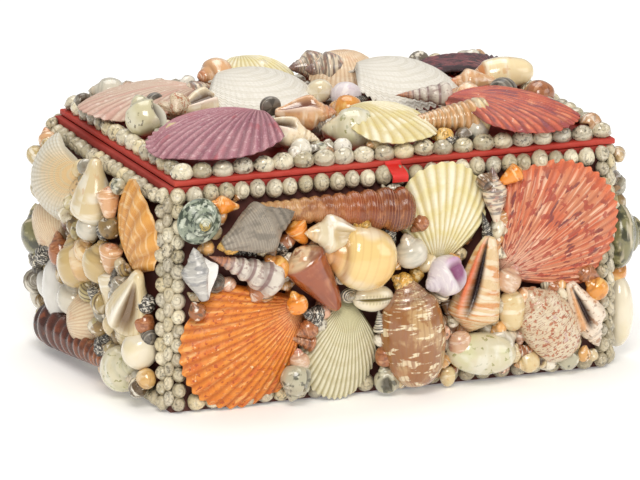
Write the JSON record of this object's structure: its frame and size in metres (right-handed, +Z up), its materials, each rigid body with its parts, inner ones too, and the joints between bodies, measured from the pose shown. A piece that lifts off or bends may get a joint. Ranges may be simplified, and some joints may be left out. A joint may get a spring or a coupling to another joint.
{
  "type": "shell box",
  "caption": "Cloth-covered keepsake box with walls and hinged lid crusted with glued sea shells, edged with rows of button snails, and a ribbon pull.",
  "frame": {"origin": "centre of the board box's underside, where it rests", "axes": "+X along the front to the right, +Y towards the back and the cloth hinge, +Z up"},
  "size_m": [0.3084, 0.2299, 0.1569],
  "materials": {
    "box_cloth": "red cotton cloth glued over board",
    "lid_cloth": "red cotton cloth glued over board",
    "hinge_cloth": "red cotton cloth strip",
    "ribbon": "red satin ribbon",
    "button_shell": "grey and cream button snail shells, speckled, glossy",
    "back_auger": "coiled shell, banded, polished",
    "back_orange_scallop": null,
    "back_white_scallop": null,
    "front_auger": "coiled shell, banded, polished",
    "front_brown_cone": "coiled shell, banded, polished",
    "front_brown_volute": "coiled shell, banded, polished",
    "front_cowrie": "coiled shell, banded, polished",
    "front_cream_snail": "coiled shell, banded, polished",
    "front_green_turban": "coiled shell, banded, polished",
    "front_grey_whelk": "coiled shell, banded, polished",
    "front_orange_scallop": null,
    "front_red_mouth_conch": "coiled shell, banded, polished",
    "front_red_scallop": null,
    "front_small_conch": "coiled shell, banded, polished",
    "front_speckled_volute": "coiled shell, banded, polished",
    "front_striped_spire": "coiled shell, banded, polished",
    "front_white_bubble": "coiled shell, banded, polished",
    "front_white_fan": null,
    "front_yellow_scallop": null,
    "left_brown_auger": "coiled shell, banded, polished",
    "left_brown_snail": "coiled shell, banded, polished",
    "left_cream_whelk": "coiled shell, banded, polished",
    "left_gold_scallop": null,
    "left_pale_whelk": "coiled shell, banded, polished",
    "left_ribbed_clam": null,
    "left_white_cockle": null,
    "left_white_cowrie": "coiled shell, banded, polished",
    "lid_dark_scallop": null,
    "lid_ivory_scallop": null,
    "lid_olive": "coiled shell, banded, polished",
    "lid_open_conch": "coiled shell, banded, polished",
    "lid_pink_scallop": null,
    "lid_purple_scallop": null,
    "lid_red_scallop": null,
    "lid_top_conch": "coiled shell, banded, polished",
    "lid_white_scallop": null,
    "lid_yellow_scallop": null,
    "right_cowrie": "coiled shell, banded, polished",
    "right_green_turban": "coiled shell, banded, polished",
    "right_plum_scallop": null
  },
  "bodies": {
    "box": {"back_auger": "back_auger", "back_foot_buttons": "button_shell", "back_left_corner_buttons": "button_shell", "back_orange_scallop": "back_orange_scallop", "back_right_corner_buttons": "button_shell", "back_top_buttons": "button_shell", "back_white_scallop": "back_white_scallop", "box_body": "box_cloth", "front_auger": "front_auger", "front_brown_cone": "front_brown_cone", "front_brown_volute": "front_brown_volute", "front_cowrie": "front_cowrie", "front_cream_snail": "front_cream_snail", "front_foot_buttons": "button_shell", "front_green_turban": "front_green_turban", "front_grey_whelk": "front_grey_whelk", "front_left_corner_buttons": "button_shell", "front_orange_scallop": "front_orange_scallop", "front_red_mouth_conch": "front_red_mouth_conch", "front_red_scallop": "front_red_scallop", "front_right_corner_buttons": "button_shell", "front_small_conch": "front_small_conch", "front_speckled_volute": "front_speckled_volute", "front_striped_spire": "front_striped_spire", "front_top_buttons": "button_shell", "front_white_bubble": "front_white_bubble", "front_white_fan": "front_white_fan", "front_yellow_scallop": "front_yellow_scallop", "hinge_cloth": "hinge_cloth", "left_brown_auger": "left_brown_auger", "left_brown_snail": "left_brown_snail", "left_cream_whelk": "left_cream_whelk", "left_foot_buttons": "button_shell", "left_gold_scallop": "left_gold_scallop", "left_pale_whelk": "left_pale_whelk", "left_ribbed_clam": "left_ribbed_clam", "left_top_buttons": "button_shell", "left_white_cockle": "left_white_cockle", "left_white_cowrie": "left_white_cowrie", "right_cowrie": "right_cowrie", "right_foot_buttons": "button_shell", "right_green_turban": "right_green_turban", "right_plum_scallop": "right_plum_scallop", "right_top_buttons": "button_shell"},
    "lid": {"lid_back_buttons": "button_shell", "lid_board": "lid_cloth", "lid_dark_scallop": "lid_dark_scallop", "lid_front_buttons": "button_shell", "lid_ivory_scallop": "lid_ivory_scallop", "lid_left_buttons": "button_shell", "lid_olive": "lid_olive", "lid_open_conch": "lid_open_conch", "lid_pink_scallop": "lid_pink_scallop", "lid_purple_scallop": "lid_purple_scallop", "lid_red_scallop": "lid_red_scallop", "lid_right_buttons": "button_shell", "lid_top_conch": "lid_top_conch", "lid_white_scallop": "lid_white_scallop", "lid_yellow_scallop": "lid_yellow_scallop", "pull_ribbon": "ribbon"}
  },
  "joints": [
    {"name": "lid_hinge", "type": "hinge", "parent": "box", "child": "lid", "pos_m": [0, 0.0875, 0.12415], "axis": [-1, 0, 0], "range_deg": [0, 95]}
  ]
}
